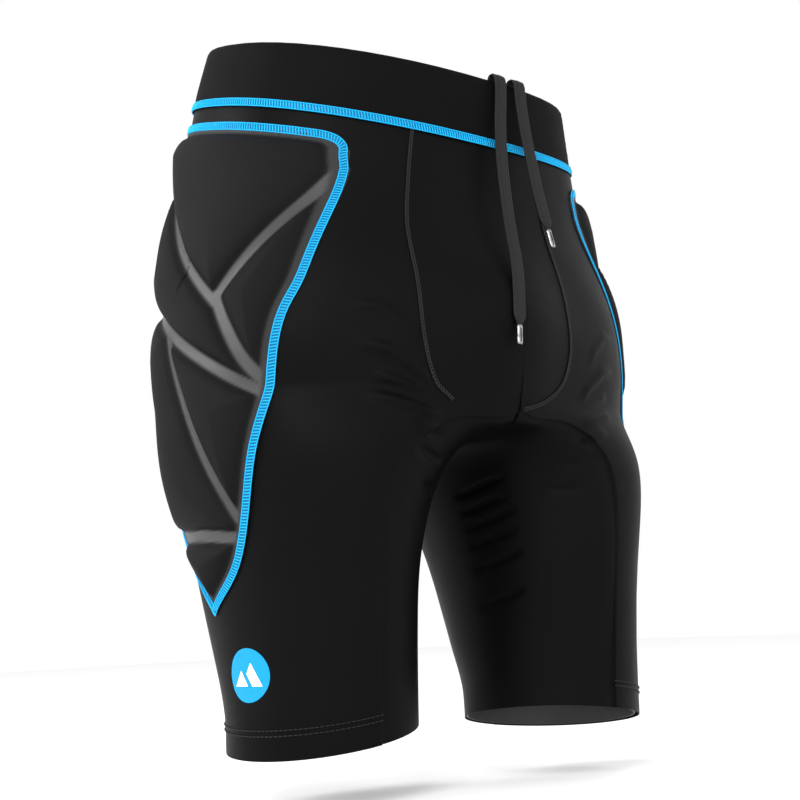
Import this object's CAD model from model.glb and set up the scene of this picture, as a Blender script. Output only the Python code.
import bpy
import math
import numpy as np
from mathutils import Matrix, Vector


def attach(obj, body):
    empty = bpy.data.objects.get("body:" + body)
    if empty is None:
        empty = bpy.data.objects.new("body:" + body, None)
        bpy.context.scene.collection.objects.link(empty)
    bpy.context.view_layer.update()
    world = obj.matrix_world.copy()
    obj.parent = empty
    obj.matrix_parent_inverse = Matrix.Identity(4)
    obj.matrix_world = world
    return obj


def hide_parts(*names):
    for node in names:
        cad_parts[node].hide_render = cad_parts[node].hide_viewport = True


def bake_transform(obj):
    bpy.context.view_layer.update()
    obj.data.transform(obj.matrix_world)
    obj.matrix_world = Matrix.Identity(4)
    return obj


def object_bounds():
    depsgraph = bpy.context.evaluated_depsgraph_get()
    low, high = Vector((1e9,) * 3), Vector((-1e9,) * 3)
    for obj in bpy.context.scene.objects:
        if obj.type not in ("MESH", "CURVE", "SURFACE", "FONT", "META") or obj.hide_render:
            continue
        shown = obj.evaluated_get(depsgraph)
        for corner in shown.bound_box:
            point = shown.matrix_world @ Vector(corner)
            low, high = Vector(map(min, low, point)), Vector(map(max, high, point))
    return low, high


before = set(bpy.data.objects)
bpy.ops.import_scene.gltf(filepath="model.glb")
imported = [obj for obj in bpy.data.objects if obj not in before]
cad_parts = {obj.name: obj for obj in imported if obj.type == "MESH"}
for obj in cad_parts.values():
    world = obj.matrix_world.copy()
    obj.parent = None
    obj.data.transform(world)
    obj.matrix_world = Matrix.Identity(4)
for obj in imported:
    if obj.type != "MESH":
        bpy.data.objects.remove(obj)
cad_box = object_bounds()

# The worn body form, in metres: one row per level below the waist opening, as in the CAD part.
LEVELS = np.array((0, -50, -120, -190, -240, -300, -380, -435, -470, -495)) / 1000
HALF_WIDTH = np.array((142, 155, 168, 183, 189, 184, 167, 161, 160, 160)) / 1000
HALF_DEPTH = np.array((111, 111, 118, 125, 121, 108, 89, 75, 66.5, 65)) / 1000
CENTRE_Y = np.array((0, 4, 9, 0, -6, -7, -6, -12, -16.5, -17)) / 1000
TILT_DEG = np.array((17, 17, 3, 0, 0, 0, 0, 0, 0, 0), float)
SQUARENESS = np.array((2.3, 2.3, 2.3, 2.3, 2.2, 2.1, 2.0, 2.0, 2.0, 2.0))
HEM = LEVELS[-1]
CROTCH_EDGE = -0.265
CROTCH_RISE = 0.035
CORNER_DROP = 0.027
THIGH_X = 0.095
HEM_RADIUS = 0.065
HEM_SIDE_TILT = math.tan(math.radians(8))
HEM_FRONT_TILT = {-1: math.tan(math.radians(2)), 1: math.tan(math.radians(-7))}
LEG_LEAN = {-1: 0.0, 1: 0.026}
LEAN_START = -0.240
LEAN_END = -0.400
POUCH = {"bulge": 0.0135, "level": -0.212, "width": 0.046, "height": 0.042}
POUCH_DROP = 0.017
SIDES = {"right": -1, "left": 1}

FABRIC = 0.0012
BAND_LEVEL = -0.049
PAD_FRONT_Y = -0.0875
PAD_REAR_Y = 0.074
PAD_TOP = -0.064
TOP_SLOPE = 0.306
PAD_FRONT_EDGE = ((-88, -184), (-79, -226), (-64, -300), (-34, -375))
PAD_TIP = (4, -411)
PAD_REAR_EDGE = ((40, -370), (63, -310), (72, -240), (75, -150))
PAD_CORNER = 0.014
SEAM_HALF = 0.003


# ---------------------------------------------------------------- body form
def along(values, level):
    """Value of a body dimension at any level: a smooth curve through the stations."""
    level = np.clip(level, LEVELS[-1], LEVELS[0])
    i = np.clip(np.searchsorted(-LEVELS, -level, side="right") - 1, 0, len(LEVELS) - 2)
    span = LEVELS[i + 1] - LEVELS[i]
    t = (level - LEVELS[i]) / span
    low, high = np.maximum(i - 1, 0), np.minimum(i + 2, len(LEVELS) - 1)
    first = (values[i + 1] - values[low]) / (LEVELS[i + 1] - LEVELS[low]) * span
    last = (values[high] - values[i]) / (LEVELS[high] - LEVELS[i]) * span
    rise = values[i + 1] - values[i]
    return values[i] + t * first + t**2 * (3 * rise - 2 * first - last) + t**3 * (first + last - 2 * rise)


def smooth(t):
    t = np.clip(t, 0, 1)
    return t * t * (3 - 2 * t)


def place(side, x, y, level):
    """Turn body coordinates into points: waist and hem tilts, pouch bulge, leg lean."""
    away = (x / POUCH["width"]) ** 2 + ((level - POUCH["level"]) / POUCH["height"]) ** 2
    y = y - np.where(y < along(CENTRE_Y, level), POUCH["bulge"] * np.exp(-away), 0)
    z = level + y * np.tan(np.radians(along(TILT_DEG, level)))
    down = smooth((LEAN_START - level) / (LEAN_START - HEM))
    z = z - down * (x - THIGH_X) * HEM_SIDE_TILT
    z = z + down * (y - CENTRE_Y[-1]) * HEM_FRONT_TILT[side]
    front = smooth((-0.02 - y) / 0.08)
    z = z - POUCH_DROP * front * np.exp(-((x / 0.042) ** 2) - ((level + 0.268) / 0.023) ** 2)
    y = y - LEG_LEAN[side] * smooth((LEAN_START - level) / (LEAN_START - LEAN_END))
    return np.stack([side * x, y, z], -1)


def corner_share(drop):
    return 1 - np.exp(-((np.maximum(drop, 0) / CORNER_DROP) ** 1.5))


def outer_form(side, u, level):
    """Front centre (u = 0) round the outside of hip and leg to the back centre (u = 1)."""
    exponent = 2 / along(SQUARENESS, level)
    start = THIGH_X * corner_share(CROTCH_EDGE - level)
    sine, cosine = np.clip(np.sin(np.pi * u), 0, 1), np.cos(np.pi * u)
    x = start + (along(HALF_WIDTH, level) - start) * sine**exponent
    y = along(CENTRE_Y, level) - along(HALF_DEPTH, level) * np.sign(cosine) * abs(cosine) ** exponent
    return place(side, x, y, level)


def inner_form(side, w, t):
    """Inside of the thigh: back (w = 0) to front (w = 1), crotch (t = 0) to hem (t = 1)."""
    middle = np.clip(np.sin(np.pi * w), 0, 1)
    crotch = CROTCH_EDGE - CROTCH_RISE * middle
    level = crotch + (HEM - crotch) * t * t
    opened = corner_share(crotch - level) * (1 - middle) + (2 * t - t * t) * middle
    x = (THIGH_X - HEM_RADIUS * middle) * opened
    y = along(CENTRE_Y, level) + along(HALF_DEPTH, level) * np.cos(np.pi * w)
    return place(side, x, y, level)


def with_normal(form, side, a, b):
    """Points of a form and their outward normals."""
    step = 1e-3
    here = form(side, a, b)
    across = form(side, np.minimum(a + step, 1), b) - form(side, np.maximum(a - step, 0), b)
    low = 0 if form is inner_form else HEM
    high = 1 if form is inner_form else 0
    down = form(side, a, np.minimum(b + step, high)) - form(side, a, np.maximum(b - step, low))
    normal = np.cross(across, down) * side
    length = np.linalg.norm(normal, axis=-1, keepdims=True)
    return here, normal / np.maximum(length, 1e-12)


def side_point(side, y, z):
    """Outside of the body at a place in side view: turn and level of the form there."""
    level = np.array(z, float)
    u = np.full(level.shape, 0.5)
    for _ in range(6):
        at = outer_form(side, u, level)
        level = level + (z - at[..., 2])
        shift = at[..., 1] - y
        depth = along(HALF_DEPTH, level)
        u = np.clip(u - shift / (depth * np.pi * np.maximum(np.sin(np.pi * u), 0.25)), 0.02, 0.98)
    return u, level


# ---------------------------------------------------------------- meshes
def mesh_object(name, verts, faces, material, smooth_shade=True):
    mesh = bpy.data.meshes.new(name)
    mesh.from_pydata([tuple(v) for v in verts], [], faces)
    mesh.validate()
    mesh.update()
    if smooth_shade:
        mesh.polygons.foreach_set("use_smooth", [True] * len(mesh.polygons))
    obj = bpy.data.objects.new(name, mesh)
    bpy.context.scene.collection.objects.link(obj)
    mesh.materials.append(material)
    return obj


def grid_faces(rows, cols, flip=False, closed=False, base=0):
    faces = []
    for i in range(rows - 1):
        for j in range(cols if closed else cols - 1):
            k = (j + 1) % cols
            quad = (base + i * cols + j, base + i * cols + k, base + (i + 1) * cols + k, base + (i + 1) * cols + j)
            faces.append(quad[::-1] if flip else quad)
    return faces


def shell(name, grids, thickness, material, flips):
    """Thin closed skin over one or more grids of points with normals."""
    verts, faces = [], []
    for (points, normals), flip in zip(grids, flips):
        rows, cols = points.shape[:2]
        for layer, turned in ((points, flip), (points - normals * thickness, not flip)):
            faces += grid_faces(rows, cols, turned, base=len(verts))
            verts += list(layer.reshape(-1, 3))
        rim = [(0, j) for j in range(cols)] + [(i, cols - 1) for i in range(1, rows)]
        rim += [(rows - 1, j) for j in range(cols - 2, -1, -1)] + [(i, 0) for i in range(rows - 2, 0, -1)]
        count, base = len(rim), len(verts)
        verts += [points[i, j] for i, j in rim]
        verts += [points[i, j] - normals[i, j] * thickness for i, j in rim]
        for a in range(count):
            b = (a + 1) % count
            quad = (base + b, base + a, base + count + a, base + count + b)
            faces.append(quad[::-1] if flip else quad)
    return mesh_object(name, verts, faces, material)


def tube(points, radius, sides=6, normals=None, flat=1.0):
    """Vertices and faces of a round or flattened tube along points."""
    points = np.asarray(points, float)
    tangent = np.gradient(points, axis=0)
    tangent /= np.linalg.norm(tangent, axis=1, keepdims=True) + 1e-12
    if normals is None:
        normals = np.cross(tangent, np.array((0.31, 0.27, 0.91)))
    across = np.cross(tangent, normals)
    across /= np.linalg.norm(across, axis=1, keepdims=True) + 1e-12
    up = np.cross(across, tangent)
    angle = np.arange(sides) / sides * 2 * np.pi
    rings = points[:, None] + radius * (
        np.cos(angle)[None, :, None] * across[:, None] + flat * np.sin(angle)[None, :, None] * up[:, None]
    )
    faces = grid_faces(len(points), sides, closed=True)
    last = (len(points) - 1) * sides
    faces.append(tuple(range(sides)))
    faces.append(tuple(last + k for k in reversed(range(sides))))
    return rings.reshape(-1, 3), faces


class Parts:
    """Collects many small closed bodies into one mesh."""

    def __init__(self):
        self.verts, self.faces, self.slots, self.count = [], [], [], 0

    def add(self, verts, faces, slot=0):
        self.slots += [slot] * len(faces)
        self.verts.append(np.asarray(verts, float))
        self.faces += [tuple(self.count + k for k in face) for face in faces]
        self.count += len(verts)

    def object(self, name, material, second=None):
        obj = mesh_object(name, np.concatenate(self.verts), self.faces, material)
        if second:
            obj.data.materials.append(second)
            obj.data.polygons.foreach_set("material_index", self.slots)
        return obj


def resample(points, normals, spacing):
    gaps = np.linalg.norm(np.diff(points, axis=0), axis=1)
    length = np.concatenate([[0], np.cumsum(gaps)])
    count = max(int(length[-1] / spacing), 2)
    at = np.linspace(0, length[-1], count + 1)
    out = [np.stack([np.interp(at, length, array[:, k]) for k in range(3)], 1) for array in (points, normals)]
    out[1] /= np.linalg.norm(out[1], axis=1, keepdims=True)
    return out


def cover_seam(points, normals, material_name, name, half=SEAM_HALF, pitch=0.0021):
    """Overlocked cover seam: a flat bed, a rail down each edge and a ladder of cross threads."""
    parts = Parts()
    path, up = resample(points, normals, pitch)
    tangent = np.gradient(path, axis=0)
    tangent /= np.linalg.norm(tangent, axis=1, keepdims=True)
    across = np.cross(tangent, up)
    parts.add(*tube(path + up * 0.0001, half, 8, up, 0.14), slot=1)
    for edge in (-1, 1):
        parts.add(*tube(path + across * edge * half * 0.88 + up * 0.00045, 0.00042, 6, up, 0.8))
    for i in range(len(path) - 1):
        lean = tangent[i] * pitch * 0.35
        start = path[i] - across[i] * half * 0.9 - lean + up[i] * 0.0005
        crown = path[i] + up[i] * 0.00085
        end = path[i] + across[i] * half * 0.9 + lean + up[i] * 0.0005
        parts.add(*tube([start, crown, end], pitch * 0.23, 5, np.array([up[i]] * 3)))
    return parts.object(name, MATERIALS[material_name], MATERIALS[f"{material_name}_bed"])


# ---------------------------------------------------------------- materials
def shader(name, color, roughness, sheen=0.0, sheen_rough=0.4, metallic=0.0, specular=0.5):
    material = bpy.data.materials.new(name)
    material.use_nodes = True
    bsdf = material.node_tree.nodes["Principled BSDF"]
    bsdf.inputs["Base Color"].default_value = (*color, 1)
    bsdf.inputs["Roughness"].default_value = roughness
    bsdf.inputs["Metallic"].default_value = metallic
    bsdf.inputs["Specular IOR Level"].default_value = specular
    bsdf.inputs["Sheen Weight"].default_value = sheen
    bsdf.inputs["Sheen Roughness"].default_value = sheen_rough
    return material


def texture(material, kind, scale, low, high, socket="Base Color", bump=0.0, detail=4.0, stretch=(1, 1, 1)):
    """Colour or roughness varied by a procedural texture, with an optional bump from it."""
    tree = material.node_tree
    bsdf = tree.nodes["Principled BSDF"]
    coords = tree.nodes.new("ShaderNodeTexCoord")
    mapping = tree.nodes.new("ShaderNodeMapping")
    mapping.inputs["Scale"].default_value = stretch
    tree.links.new(coords.outputs["Object"], mapping.inputs["Vector"])
    node = tree.nodes.new(kind)
    node.inputs["Scale"].default_value = scale
    if kind == "ShaderNodeTexNoise":
        node.inputs["Detail"].default_value = detail
    tree.links.new(mapping.outputs["Vector"], node.inputs["Vector"])
    value = node.outputs["Distance"] if kind == "ShaderNodeTexVoronoi" else node.outputs[0]
    if socket:
        ramp = tree.nodes.new("ShaderNodeValToRGB")
        ramp.color_ramp.elements[0].color = (*low, 1)
        ramp.color_ramp.elements[1].color = (*high, 1)
        tree.links.new(value, ramp.inputs["Fac"])
        tree.links.new(ramp.outputs["Color"], bsdf.inputs[socket])
    if bump:
        node_bump = tree.nodes.new("ShaderNodeBump")
        node_bump.inputs["Strength"].default_value = bump
        node_bump.inputs["Distance"].default_value = 0.0006
        old = bsdf.inputs["Normal"].links
        if old:
            tree.links.new(old[0].from_socket, node_bump.inputs["Normal"])
        tree.links.new(value, node_bump.inputs["Height"])
        tree.links.new(node_bump.outputs["Normal"], bsdf.inputs["Normal"])
    return material


def grey(value):
    return (value, value, value * 1.06)


def knit(name, dark, light, roughness, sheen, scale, bump, specular):
    """Fine jersey: rows of stitches, slow shade changes and a soft sheen."""
    material = shader(name, grey(dark), roughness, sheen, 0.35, specular=specular)
    texture(material, "ShaderNodeTexNoise", 9, grey(dark), grey(light), detail=6)
    texture(material, "ShaderNodeTexNoise", scale * 2.2, None, None, None, bump, stretch=(1, 1, 1.6))
    texture(material, "ShaderNodeTexNoise", 30, (roughness - 0.08,) * 3, (roughness + 0.1,) * 3, "Roughness")
    return material


def thread(name, dark, light):
    material = shader(name, light, 0.5, 0.02, 0.3, specular=0.12)
    texture(material, "ShaderNodeTexNoise", 900, dark, light, bump=0.5)
    return material


def pad_material():
    """Brushed knit on the cells, passing into smoother, shinier pressed sheet in the channels."""
    material = shader("pad_knit", grey(0.006), 0.6, specular=0.08)
    tree = material.node_tree
    bsdf = tree.nodes["Principled BSDF"]
    pressed = tree.nodes.new("ShaderNodeAttribute")
    pressed.attribute_name = "pressed"
    noise = tree.nodes.new("ShaderNodeTexNoise")
    noise.inputs["Scale"].default_value = 1500
    for socket, knit_value, pressed_value in (
        ("Base Color", (*grey(0.005), 1), (*grey(0.020), 1)),
        ("Roughness", (0.62,) * 3 + (1,), (0.34,) * 3 + (1,)),
        ("Specular IOR Level", (0.04,) * 3 + (1,), (0.32,) * 3 + (1,)),
    ):
        ramp = tree.nodes.new("ShaderNodeValToRGB")
        ramp.color_ramp.elements[0].color = knit_value
        ramp.color_ramp.elements[1].color = pressed_value
        tree.links.new(pressed.outputs["Fac"], ramp.inputs["Fac"])
        tree.links.new(ramp.outputs["Color"], bsdf.inputs[socket])
    bump = tree.nodes.new("ShaderNodeBump")
    bump.inputs["Strength"].default_value = 0.35
    bump.inputs["Distance"].default_value = 0.0005
    tree.links.new(noise.outputs[0], bump.inputs["Height"])
    tree.links.new(bump.outputs["Normal"], bsdf.inputs["Normal"])
    return material


MATERIALS = {
    "fabric": knit("stretch_knit", 0.0012, 0.0022, 0.44, 0.0, 900, 0.25, 0.035),
    "band": knit("band_knit", 0.0015, 0.0028, 0.62, 0.0, 700, 0.45, 0.03),
    "foam": pad_material(),
    "blue": thread("blue_thread", (0.0, 0.22, 0.44), (0.01, 0.36, 0.66)),
    "blue_bed": thread("blue_bed", (0.0, 0.08, 0.18), (0.0, 0.13, 0.27)),
    "black": thread("black_thread", grey(0.005), grey(0.014)),
    "black_bed": thread("black_bed", grey(0.002), grey(0.003)),
    "cord": thread("cord_braid", grey(0.003), grey(0.009)),
    "metal": shader("steel_tip", (0.25, 0.25, 0.26), 0.3, metallic=1.0),
    "gripper": texture(shader("gripper", grey(0.012), 0.5), "ShaderNodeTexNoise", 300, grey(0.01), grey(0.02), bump=0.3),
    "badge_blue": thread("badge_blue", (0.0, 0.18, 0.38), (0.004, 0.22, 0.45)),
    "badge_white": texture(shader("badge_white", (0.8, 0.8, 0.8), 0.5), "ShaderNodeTexNoise", 500, (0.7,) * 3, (0.85,) * 3, bump=0.2),
}
texture(MATERIALS["metal"], "ShaderNodeTexNoise", 250, (0.16,) * 3, (0.32,) * 3, bump=0.05)


# ---------------------------------------------------------------- wrinkles
# Stretch folds, as points of the right leg in millimetres, half width and height.
GROIN_FOLDS = (
    (((-128, -102, -214), (-106, -113, -216), (-89, -119, -229), (-79, -121, -244)), 3.2, 2.2),
    (((-125, -104, -239), (-101, -114, -244), (-78, -118, -259), (-66, -119, -275)), 3.2, 4.2),
    (((-112, -107, -259), (-95, -112, -264), (-70, -118, -272)), 3.0, 3.8),
    (((-118, -104, -272), (-86, -116, -281), (-60, -119, -290)), 3.0, 4.0),
    (((-94, -115, -289), (-77, -118, -294), (-56, -116, -300)), 2.8, 3.4),
    (((-84, -112, -306), (-66, -108, -312), (-50, -100, -316)), 2.8, 3.0),
    (((-70, -104, -330), (-56, -96, -332), (-44, -80, -330)), 3.0, 2.0),
    (((-110, 105, -262), (-70, 118, -258), (-35, 120, -250)), 5.0, 2.4),
    (((-115, 98, -280), (-80, 108, -282), (-45, 108, -274)), 4.5, 2.2),
)
INNER_FOLDS = ((-326, 0.3), (-339, -0.4), (-352, 0.6), (-366, -0.2), (-384, 0.5), (-412, 0.1))


def creases(side):
    """Lines of the folds on one leg, in metres, with half width and height."""
    folds = []
    for points, width, height in GROIN_FOLDS:
        lean = LEG_LEAN[side] * smooth((LEAN_START - np.array([p[2] for p in points]) / 1000) / 0.16)
        line = np.array(points) / 1000 * (-side, 1, 1)
        line[:, 1] -= lean
        share = 1.0 if side < 0 else 0.55
        folds.append((line, width / 1000, height / 1000 * share))
    for height_mm, tilt in INNER_FOLDS:
        level = np.array([height_mm - 9, height_mm - 3, height_mm + 2 + 3 * tilt]) / 1000
        w = np.array([0.52, 0.62, 0.70 + 0.02 * tilt])
        crotch = CROTCH_EDGE - CROTCH_RISE * np.sin(np.pi * w)
        folds.append((inner_form(side, w, np.sqrt((level - crotch) / (HEM - crotch))), 0.0026, 0.0034))
    return folds


def crease_height(points, side):
    total = np.zeros(points.shape[:-1])
    for line, width, height in creases(side):
        best = np.full(total.shape, 1e9)
        place_on = np.zeros(total.shape)
        for k, (a, b) in enumerate(zip(line, line[1:])):
            step = b - a
            t = np.clip(((points - a) @ step) / (step @ step), 0, 1)
            near = np.linalg.norm((points - (a + t[..., None] * step)) * (1, 0.45, 1), axis=-1)
            place_on = np.where(near < best, (k + t) / (len(line) - 1), place_on)
            best = np.minimum(best, near)
        taper = smooth(place_on * 3) * smooth((1 - place_on) * 3)
        total += height * taper * np.exp(-((best / width) ** 2))
    return total


def fabric_relief(points, side):
    """Creases plus the slow unevenness of stretched cloth."""
    x, y, z = points[..., 0], points[..., 1], points[..., 2]
    slow = np.sin(31 * z + 9 * x) * np.sin(23 * y + 17 * z + 1.3 * side) * 0.0006
    calm = smooth(abs(x) / 0.02) * smooth((-0.055 - z) / 0.02) * smooth((z + 0.50) / 0.012)
    return (crease_height(points, side) + slow) * calm


# ---------------------------------------------------------------- fabric
def unit(vectors):
    return vectors / np.maximum(np.linalg.norm(vectors, axis=-1, keepdims=True), 1e-12)


def fabric_grids(side):
    """Outside and inside skins, with shared normals where they meet, so that no gap opens."""
    u, level = np.meshgrid(np.linspace(0, 1, 171), np.linspace(BAND_LEVEL + 0.002, HEM, 221))
    points, normals = with_normal(outer_form, side, u, level)
    drop = np.maximum(CROTCH_EDGE - level[:, 0], 0) / (CROTCH_EDGE - HEM)
    for column, w_edge in ((0, 1.0), (-1, 0.0)):
        _, meeting = with_normal(inner_form, side, np.full(len(drop), w_edge), np.sqrt(drop))
        split = (drop > 0)[:, None]
        centre = normals[:, column] * (0, 1, 1)
        normals[:, column] = unit(np.where(split, normals[:, column] + meeting, centre))
    points = points + normals * (FABRIC + fabric_relief(points, side))[..., None]
    w, t = np.meshgrid(np.linspace(0, 1, 121), np.linspace(0, 1, 181))
    inside, away = with_normal(inner_form, side, w, t)
    edge_level = CROTCH_EDGE + (HEM - CROTCH_EDGE) * t[:, 0] ** 2
    for column, u_edge in ((-1, 0.0), (0, 1.0)):
        _, meeting = with_normal(outer_form, side, np.full(len(t), u_edge), edge_level)
        away[:, column] = unit(away[:, column] + meeting)
    away[0] = unit(away[0] * (0, 1, 1))
    inside = inside + away * (FABRIC + fabric_relief(inside, side))[..., None]
    return (points, normals), (inside, away)


def cross_hip(obj):
    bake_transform(obj)


def fabric(name, side):
    grids = fabric_grids(side)
    obj = shell(f"{name}_fabric", grids, 0.0009, MATERIALS["fabric"], (side > 0, side > 0))
    names = ["front_panel", "seat_panel", "hip_pad_backing", "leg_pad_backing", "leg_panel", "inner_thigh_panel"]
    replaced = [f"{name}_{n}" for n in names]
    if side < 0:
        replaced += ["pouch_panel", "crotch_gusset"]
    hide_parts(*replaced)
    cross_hip(obj)


# ---------------------------------------------------------------- pads
def spline_points(points, count):
    """Smooth curve through points, in side view."""
    p = np.array(points, float)
    p = np.vstack([2 * p[0] - p[1], p, 2 * p[-1] - p[-2]])
    out = []
    for i in range(1, len(p) - 2):
        t = np.linspace(0, 1, count, endpoint=False)[:, None]
        a, b, c, d = p[i - 1], p[i], p[i + 1], p[i + 2]
        out.append(0.5 * (2 * b + (c - a) * t + (2 * a - 5 * b + 4 * c - d) * t**2 + (3 * b - a - 3 * c + d) * t**3))
    return np.vstack([*out, p[-2:-1]])


def pad_outline():
    """Closed outline of a pad in side view, in metres, with its rounded front top corner."""
    top_front = np.array((PAD_FRONT_Y, PAD_TOP + PAD_FRONT_Y * TOP_SLOPE))
    top_rear = np.array((PAD_REAR_Y, PAD_TOP + PAD_REAR_Y * TOP_SLOPE))
    front = spline_points([top_front, *(np.array(p) / 1000 for p in (*PAD_FRONT_EDGE, PAD_TIP))], 12)
    rear = spline_points([*(np.array(p) / 1000 for p in (PAD_TIP, *PAD_REAR_EDGE)), top_rear], 12)
    along_top = (top_rear - top_front) / np.linalg.norm(top_rear - top_front)
    first = top_front + along_top * PAD_CORNER
    second = top_front + np.array((0.001, -PAD_CORNER))
    t = np.linspace(0, 1, 9)[:, None]
    corner = (1 - t) ** 2 * first + 2 * t * (1 - t) * top_front + t**2 * second
    front = front[front[:, 1] < second[1] - 0.003]
    back = top_rear + (first - top_rear) * np.linspace(0, 1, 14)[1:-1, None]
    return np.vstack([corner, front, rear[1:], back])


def distance_inside(y, z, polygon):
    """Distance to a closed outline, positive inside it."""
    p = np.stack([y, z], -1)
    best = np.full(y.shape, 1e9)
    inside = np.zeros(y.shape, bool)
    for a, b in zip(polygon, np.roll(polygon, -1, 0)):
        line = b - a
        t = np.clip(((p - a) @ line) / (line @ line + 1e-15), 0, 1)
        best = np.minimum(best, np.linalg.norm(p - (a + t[..., None] * line), axis=-1))
        crosses = (a[1] > z) != (b[1] > z)
        inside ^= crosses & (y < (b[0] - a[0]) * (z - a[1]) / (b[1] - a[1] + 1e-15) + a[0])
    return np.where(inside, best, -best)


# Sewn channels between the foam cells, in side view in millimetres: points, half width.
CHANNELS = (
    (((-84, -118), (-74, -142), (-56, -172), (-34, -204)), 3.2),
    (((78, -62), (50, -112), (16, -158), (-34, -206)), 3.0),
    (((-34, -202), (-46, -226), (-58, -250), (-76, -276)), 3.4),
    (((84, -176), (46, -199), (14, -219), (-30, -246), (-80, -280)), 3.4),
    (((20, -218), (0, -262), (-18, -306), (-40, -352)), 3.0),
    (((66, -352), (30, -356), (-8, -358), (-58, -364)), 3.4),
)


def channel_distance(y, z):
    """Distance past the nearest channel's edge."""
    best = np.full(y.shape, 1e9)
    p = np.stack([y, z], -1)
    for points, half in CHANNELS:
        line = spline_points(np.array(points) / 1000, 8)
        for a, b in zip(line, line[1:]):
            step = b - a
            t = np.clip(((p - a) @ step) / (step @ step), 0, 1)
            near = np.linalg.norm(p - (a + t[..., None] * step), axis=-1)
            best = np.minimum(best, near - half / 1000)
    return best


OUTLINE = pad_outline()
FOAM_MARGIN = 0.0085
FOAM_RISE = 0.0080


def pad(name, side):
    """One moulded pad: a thin sheet pressed round six crowned foam cells."""
    rows, cols = 230, 150
    v = np.linspace(0, 1, rows)[:, None]
    z = np.broadcast_to(-0.034 + v * (-0.412 + 0.034), (rows, cols))
    y = np.broadcast_to(np.linspace(-0.094, 0.080, cols)[None, :], (rows, cols))
    edge = distance_inside(y, z, OUTLINE)
    u, level = side_point(side, y, z)
    points, normals = with_normal(outer_form, side, u, level)
    depth = np.minimum(edge - FOAM_MARGIN, channel_distance(y, z))
    crown = 1 - np.exp(-np.maximum(depth, 0) / 0.0058)
    swell = smooth(np.maximum(depth, 0) / 0.004)
    uneven = 0.0003 * np.sin(70 * y + 40 * z) * np.sin(55 * z)
    bulge = 1 + 0.25 * smooth(np.maximum(depth, 0) / 0.03)
    rise = 0.0008 + smooth(edge / 0.004) * 0.0006 + FOAM_RISE * bulge * crown * (0.35 + 0.65 * swell) + uneven * swell
    points = points + normals * (FABRIC + rise)[..., None]
    keep = edge > 0.0006
    index = -np.ones(keep.shape, int)
    index[keep] = np.arange(keep.sum())
    top = points[keep]
    bottom = (points - normals * (rise - 0.0001)[..., None])[keep]
    count = len(top)
    faces, border = [], {}
    for i in range(rows - 1):
        for j in range(cols - 1):
            quad = [index[i, j], index[i, j + 1], index[i + 1, j + 1], index[i + 1, j]]
            if min(quad) < 0:
                continue
            quad = quad if side < 0 else quad[::-1]
            faces.append(tuple(quad))
            for a, b in zip(quad, quad[1:] + quad[:1]):
                if (b, a) in border:
                    del border[(b, a)]
                else:
                    border[(a, b)] = True
    under = [tuple(count + k for k in reversed(face)) for face in faces]
    walls = [(b, a, a + count, b + count) for a, b in border]
    obj = mesh_object(f"{name}_hip_pad", np.vstack([top, bottom]), faces + under + walls, MATERIALS["foam"])
    channel = smooth((0.0012 - channel_distance(y, z)) / 0.0018)
    margin = smooth((FOAM_MARGIN + 0.001 - edge) / 0.0018)
    pressed = np.maximum(channel * smooth((edge - 0.004) / 0.005), margin * 0.45)[keep]
    layer = obj.data.attributes.new("pressed", "FLOAT", "POINT")
    layer.data.foreach_set("value", np.concatenate([pressed, pressed]).astype(np.float32))
    cells = ("top", "front", "rear", "lower_front", "lower_rear", "tip")
    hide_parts(f"{name}_hip_pad_membrane", f"{name}_leg_pad_membrane", *(f"{name}_pad_foam_{c}" for c in cells))
    cross_hip(obj)


def pad_border(name, side):
    line = np.vstack([OUTLINE, OUTLINE[:1]])
    move = np.gradient(line, axis=0)
    out = np.stack([move[:, 1], -move[:, 0]], 1)
    out /= np.linalg.norm(out, axis=1, keepdims=True)
    area = np.sum(line[:-1, 0] * line[1:, 1] - line[1:, 0] * line[:-1, 1])
    line = line - out * 0.003 * (1 if area > 0 else -1)
    u, level = side_point(side, line[:, 0], line[:, 1])
    points, normals = with_normal(outer_form, side, u, level)
    points = points + normals * (FABRIC + 0.0012)
    obj = cover_seam(points, normals, "blue", f"{name}_pad_border_seam")
    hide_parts(f"{name}_hip_pad_border", f"{name}_leg_pad_border")
    cross_hip(obj)


# ---------------------------------------------------------------- waistband
def ring_points(level, height):
    """Closed line round the body at a level, moved out by a height."""
    u = np.linspace(0, 1, 161)
    right, out_right = with_normal(outer_form, -1, u, np.full(161, level))
    left, out_left = with_normal(outer_form, 1, u[::-1], np.full(161, level))
    points = np.vstack([right[:-1], left[:-1]])
    normals = np.vstack([out_right[:-1], out_left[:-1]])
    return points + normals * height, normals


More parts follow.
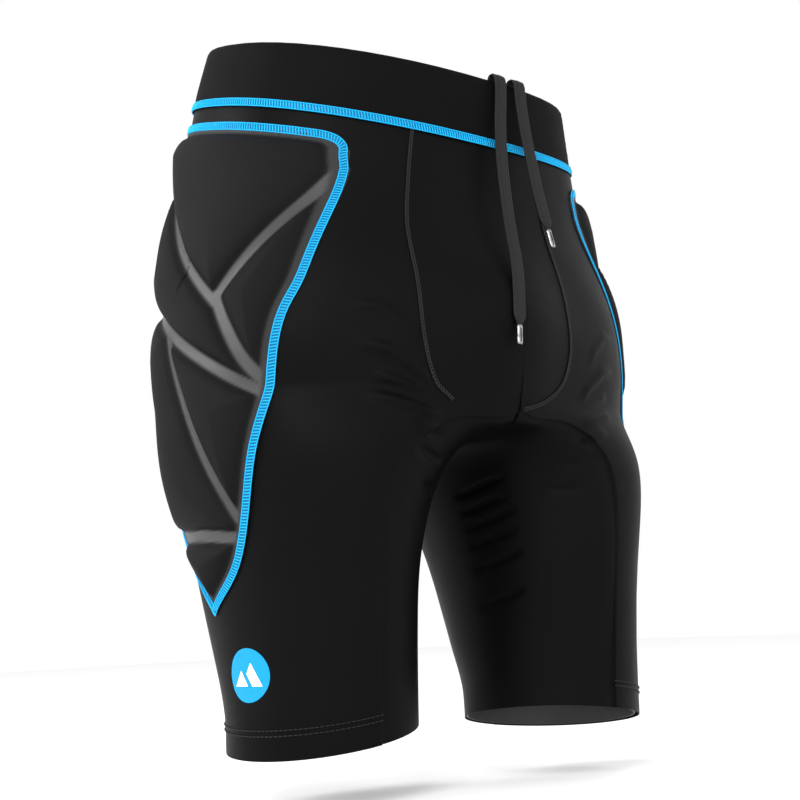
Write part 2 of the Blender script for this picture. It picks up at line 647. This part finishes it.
def waistband():
    """Folded elastic band: outside, rolled top edge, facing inside and a turned lower edge."""
    section = [(BAND_LEVEL - 0.001, 0.0016), (BAND_LEVEL + 0.004, 0.0021)]
    section += [(level, 0.0022) for level in np.linspace(-0.040, -0.006, 12)]
    section += [(-0.0025, 0.0019), (-0.0006, 0.0010), (0.0, -0.0003), (-0.0006, -0.0016), (-0.0025, -0.0024)]
    section += [(level, -0.0027) for level in np.linspace(-0.008, -0.046, 8)]
    section += [(BAND_LEVEL, -0.0020), (BAND_LEVEL - 0.0005, 0.0)]
    rows = []
    for level, height in section:
        points, normals = ring_points(level, height)
        ripple = 0.00018 * np.sin(np.arange(len(points)) * 0.9) * np.sin(level * 700)
        rows.append(points + normals * ripple[:, None])
    cols = len(rows[0])
    faces = grid_faces(len(rows) + 1, cols, True, closed=True)
    faces = [tuple(k % (len(rows) * cols) for k in face) for face in faces]
    obj = mesh_object("waistband", np.vstack(rows), faces, MATERIALS["band"])
    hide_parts("waistband_fabric", "waist_facing", "waist_elastic_upper", "waist_elastic_lower", "drawcord_run")
    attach(obj, "hips")
    points, normals = ring_points(BAND_LEVEL + 0.0005, 0.0024)
    points, normals = np.vstack([points, points[:1]]), np.vstack([normals, normals[:1]])
    seam = cover_seam(points, normals, "blue", "waist_seam")
    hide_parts("waist_cover_seam")
    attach(seam, "hips")


# ---------------------------------------------------------------- black seams
def front_line(side, places):
    """Points on the front at (distance from the centre, height) places."""
    places = spline_points(np.array(places) / 1000, 10)
    x, z = places[:, 0], places[:, 1]
    level, u = z.copy(), np.full(len(z), 0.1)
    for _ in range(25):
        at = outer_form(side, u, level)
        level = np.clip(level + (z - at[:, 2]), HEM, 0)
        u = np.clip(u + (x - side * at[:, 0]) / 0.45, 0.0, 0.45)
    points, normals = with_normal(outer_form, side, u, level)
    relief = fabric_relief(points, side)
    return points + normals * (FABRIC + relief + 0.0002)[:, None], normals


POUCH_SEAM = {
    "right": ((62, -78), (69, -120), (78, -160), (79, -200), (77, -235), (68, -262), (54, -276)),
    "left": ((54, -78), (53, -120), (50, -160), (50, -200), (53, -235), (45, -258), (24, -273), (2, -280)),
}


def black_seams(name, side):
    points, normals = front_line(side, POUCH_SEAM[name])
    seam = cover_seam(points, normals, "black", f"{name}_pouch_flatlock", half=0.0011, pitch=0.0024)
    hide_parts(f"{name}_pouch_seam")
    cross_hip(seam)
    t = np.linspace(0.2, 1, 90)
    inseam, away = with_normal(inner_form, side, np.full(90, 0.72), t)
    inseam = inseam + away * (FABRIC + fabric_relief(inseam, side) + 0.0002)[:, None]
    line = cover_seam(inseam, away, "black", f"{name}_inseam_flatlock", half=0.0012, pitch=0.0024)
    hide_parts(f"{name}_inseam")
    cross_hip(line)


def hem(name, side):
    """Two rows of lock stitches above the hem, and the gripper inside it."""
    stitches = Parts()
    for height in (0.0155, 0.0190):
        level = HEM + height
        u = np.linspace(0, 1, 121)
        outside, out = with_normal(outer_form, side, u, np.full(121, level))
        w = np.linspace(0, 1, 81)
        crotch = CROTCH_EDGE - CROTCH_RISE * np.sin(np.pi * w)
        t = np.sqrt((level - crotch) / (HEM - crotch))
        inside, away = with_normal(inner_form, side, w, t)
        points, normals = np.vstack([outside, inside[1:]]), np.vstack([out, away[1:]])
        lift = FABRIC + 0.0003 + fabric_relief(points, side)
        points, normals = resample(points + normals * lift[:, None], normals, 0.0034)
        for a, b, n in zip(points, points[1:], normals):
            stitches.add(*tube([a + (b - a) * 0.12, (a + b) / 2 + n * 0.0003, a + (b - a) * 0.88], 0.00042, 5, np.array([n] * 3)))
    obj = stitches.object(f"{name}_hem_stitches", MATERIALS["black"])
    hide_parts(f"{name}_hem_stitching")
    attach(obj, f"{name}_leg")
    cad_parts[f"{name}_hem_cuff"].data.materials.clear()
    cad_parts[f"{name}_hem_cuff"].data.materials.append(MATERIALS["gripper"])


# ---------------------------------------------------------------- drawcord
CORD_ROUTES = {
    "right": ((11, -104.6, -61), (11, -106.6, -29.8), (11, -116.5, -29.8), (11, -116.5, -44), (7, -117, -76),
              (4, -121, -112), (-1, -130, -152), (-5, -140.5, -188), (-11, -144, -226)),
    "left": ((30, -103.2, -61), (30, -105.4, -29.8), (30, -116.5, -29.8), (30, -116.5, -44), (32, -117.5, -70),
             (34, -121, -97), (35, -125, -124), (37, -130, -148)),
}
CORD_WIDTH = 0.011
TIP_HALF = (0.0024, 0.0014)


def nurbs_line(name, points):
    """Points along a smooth open spline that has these as its control points."""
    curve = bpy.data.curves.new(name, "CURVE")
    curve.dimensions = "3D"
    curve.resolution_u = 24
    spline = curve.splines.new("NURBS")
    spline.points.add(len(points) - 1)
    for point, place_mm in zip(spline.points, points):
        point.co = (*(c / 1000 for c in place_mm), 1)
    spline.order_u = 3
    spline.use_endpoint_u = True
    holder = bpy.data.objects.new(name, curve)
    mesh = bpy.data.meshes.new_from_object(holder)
    line = np.array([v.co for v in mesh.vertices])
    bpy.data.objects.remove(holder)
    return line


def drawcord(name):
    """Flat braided cord with lengthwise ribs, folded over the band, and its metal tip."""
    line = nurbs_line(f"{name}_route", CORD_ROUTES[name])
    path, _ = resample(line, np.ones_like(line), 0.0011)
    tangent = np.gradient(path, axis=0)
    tangent /= np.linalg.norm(tangent, axis=1, keepdims=True)
    across = np.array((1.0, 0, 0)) - tangent * tangent[:, :1]
    across /= np.linalg.norm(across, axis=1, keepdims=True)
    up = np.cross(across, tangent)
    sides = 40
    angle = np.arange(sides) / sides * 2 * np.pi
    wide = np.sign(np.cos(angle)) * abs(np.cos(angle)) ** 0.7 * CORD_WIDTH / 2
    tall = np.sign(np.sin(angle)) * abs(np.sin(angle)) ** 0.5 * 0.0009
    steps = np.arange(len(path))[:, None]
    rib = 1 + 0.22 * np.cos(wide / CORD_WIDTH * 2 * np.pi * 5)[None, :]
    braid = 1 + 0.10 * np.sin(steps * 1.57 + 9 * wide[None, :] / CORD_WIDTH)
    left = (len(path) - 1 - steps) * 0.0011
    narrow = TIP_HALF[0] * 1.7 / CORD_WIDTH + (1 - TIP_HALF[0] * 1.7 / CORD_WIDTH) * smooth(left / 0.009)
    rings = path[:, None] + across[:, None] * (wide[None, :] * narrow)[..., None]
    rings = rings + up[:, None] * (tall * rib * braid)[..., None]
    faces = grid_faces(len(path), sides, closed=True)
    faces += [tuple(range(sides))[::-1], tuple((len(path) - 1) * sides + k for k in range(sides))]
    cord = mesh_object(f"{name}_drawcord", rings.reshape(-1, 3), faces, MATERIALS["cord"])
    tip, run = path[-1], tangent[-1]
    aglet = Parts()
    profile = [(-0.0012, 0.8), (0.0, 1.0), (0.0010, 1.06), (0.0018, 0.96), (0.0075, 0.95), (0.0082, 1.04), (0.0118, 1.0), (0.0130, 0.8)]
    loop = np.stack([np.cos(angle) * TIP_HALF[0], np.sin(angle) * TIP_HALF[1]], 1)
    rows = [tip + run * s + (across[-1] * loop[:, :1] + up[-1] * loop[:, 1:]) * k for s, k in profile]
    ends = grid_faces(len(rows), sides, closed=True)
    ends += [tuple(range(sides))[::-1], tuple((len(rows) - 1) * sides + k for k in range(sides))]
    aglet.add(np.vstack(rows), ends)
    for face in (-1, 1):
        slot = [tip + run * s + up[-1] * face * (TIP_HALF[1] - 0.0001) for s in (0.0012, 0.006, 0.0115)]
        aglet.add(*tube(slot, 0.00055, 8, np.array([up[-1]] * 3), 0.5), slot=1)
    metal = aglet.object(f"{name}_drawcord_tip", MATERIALS["metal"], MATERIALS["black_bed"])
    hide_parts(f"drawcord_aglet_{name}")
    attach(metal, f"drawcord_{name}")
    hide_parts(f"drawcord_end_{name}", f"drawcord_fold_{name}")
    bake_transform(cord)


# ---------------------------------------------------------------- badge
def badge():
    """Generic printed badge: a blue disc with two pale slopes."""
    discs = {"thigh_badge_disc": (None, "badge_blue", 0.0003), "thigh_badge_peaks": ("peaks", "badge_white", 0.0006)}
    centre = np.array((-0.027, -0.450))
    for name, (kind, material, height) in discs.items():
        shapes = [[(0.0175 * math.cos(a), 0.0175 * math.sin(a)) for a in np.linspace(0, 2 * math.pi, 48, endpoint=False)]]
        if kind:
            shapes = [[(-0.012, -0.007), (-0.003, 0.008), (0.001, 0.001), (-0.004, -0.007)],
                      [(0.0, -0.007), (0.006, 0.003), (0.012, -0.007)]]
        parts = Parts()
        for shape in shapes:
            ring = np.array(shape)
            rings = []
            for k in np.linspace(1, 0.04, 9):
                middle = ring.mean(0)
                at = centre + middle + (ring - middle) * k
                u, level = side_point(-1, at[:, 0], at[:, 1])
                points, normals = with_normal(outer_form, -1, u, level)
                rings.append(points + normals * (FABRIC + height + fabric_relief(points, -1))[:, None])
            count = len(ring)
            base = [r - 0.0002 * np.array((-1.0, 0, 0)) for r in rings]
            faces = grid_faces(len(rings), count, closed=True)
            faces.append(tuple((len(rings) - 1) * count + k for k in range(count)))
            parts.add(np.vstack(rings), faces)
            parts.add(np.vstack(base), [f[::-1] for f in faces])
        obj = parts.object(name, MATERIALS[material])
        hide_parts("thigh_badge")
        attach(obj, "right_leg")


# ---------------------------------------------------------------- studio
def area_light(name, place_at, target, size, power, color=(1, 1, 1)):
    light = bpy.data.lights.new(name, "AREA")
    light.size, light.energy, light.color = size, power, color
    obj = bpy.data.objects.new(name, light)
    obj.location = place_at
    obj.rotation_euler = (Vector(target) - Vector(place_at)).to_track_quat("-Z", "Y").to_euler()
    bpy.context.scene.collection.objects.link(obj)


def studio():
    low = cad_box[0].z - 0.03
    floor = mesh_object("floor", [(-4, -4, low), (4, -4, low), (4, 4, low), (-4, 4, low)], [(0, 1, 2, 3)],
                        shader("floor_paper", (0.9, 0.9, 0.9), 0.9, specular=0.0))
    texture(floor.data.materials[0], "ShaderNodeTexNoise", 3, (0.90,) * 3, (0.92,) * 3)
    world = bpy.data.worlds.new("studio")
    world.use_nodes = True
    world.node_tree.nodes["Background"].inputs["Color"].default_value = (1, 1, 1, 1)
    world.node_tree.nodes["Background"].inputs["Strength"].default_value = 1.0
    bpy.context.scene.world = world
    bpy.context.scene.view_settings.view_transform = "Standard"
    area_light("key", (-1.9, -1.5, 1.0), (0, 0, -0.25), 1.1, 60)
    area_light("rim_left", (-1.6, 0.9, 0.5), (-0.1, 0, -0.25), 0.8, 40)
    area_light("rim_right", (1.7, -1.2, 0.3), (0.1, 0, -0.25), 1.6, 9)
    area_light("front", (-0.5, -2.4, 0.4), (0, 0, -0.25), 1.8, 26)


def camera():
    """Low three-quarter view from the wearer's right front, with the camera rolled a little."""
    data = bpy.data.cameras.new("camera")
    data.sensor_width = 36
    data.lens = 59.75
    obj = bpy.data.objects.new("camera", data)
    forward = Vector((0.6186, 0.7682, 0.1651)).normalized()
    right = Vector((forward.y, -forward.x, 0)).normalized()
    up = right.cross(forward)
    roll = math.radians(-2.54)
    right, up = right * math.cos(roll) + up * math.sin(roll), up * math.cos(roll) - right * math.sin(roll)
    obj.location = (-0.6285, -0.7778, -0.4205)
    turn = obj.rotation_euler.to_matrix()
    for row in range(3):
        turn[row][0], turn[row][1], turn[row][2] = right[row], up[row], -forward[row]
    obj.rotation_euler = turn.to_euler()
    bpy.context.scene.collection.objects.link(obj)
    bpy.context.scene.camera = obj


for side_name, side_sign in SIDES.items():
    fabric(side_name, side_sign)
    pad(side_name, side_sign)
    pad_border(side_name, side_sign)
    black_seams(side_name, side_sign)
    hem(side_name, side_sign)
    drawcord(side_name)
waistband()
badge()
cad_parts["drawcord_eyelets"].data.materials.clear()
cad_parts["drawcord_eyelets"].data.materials.append(MATERIALS["band"])
studio()
camera()
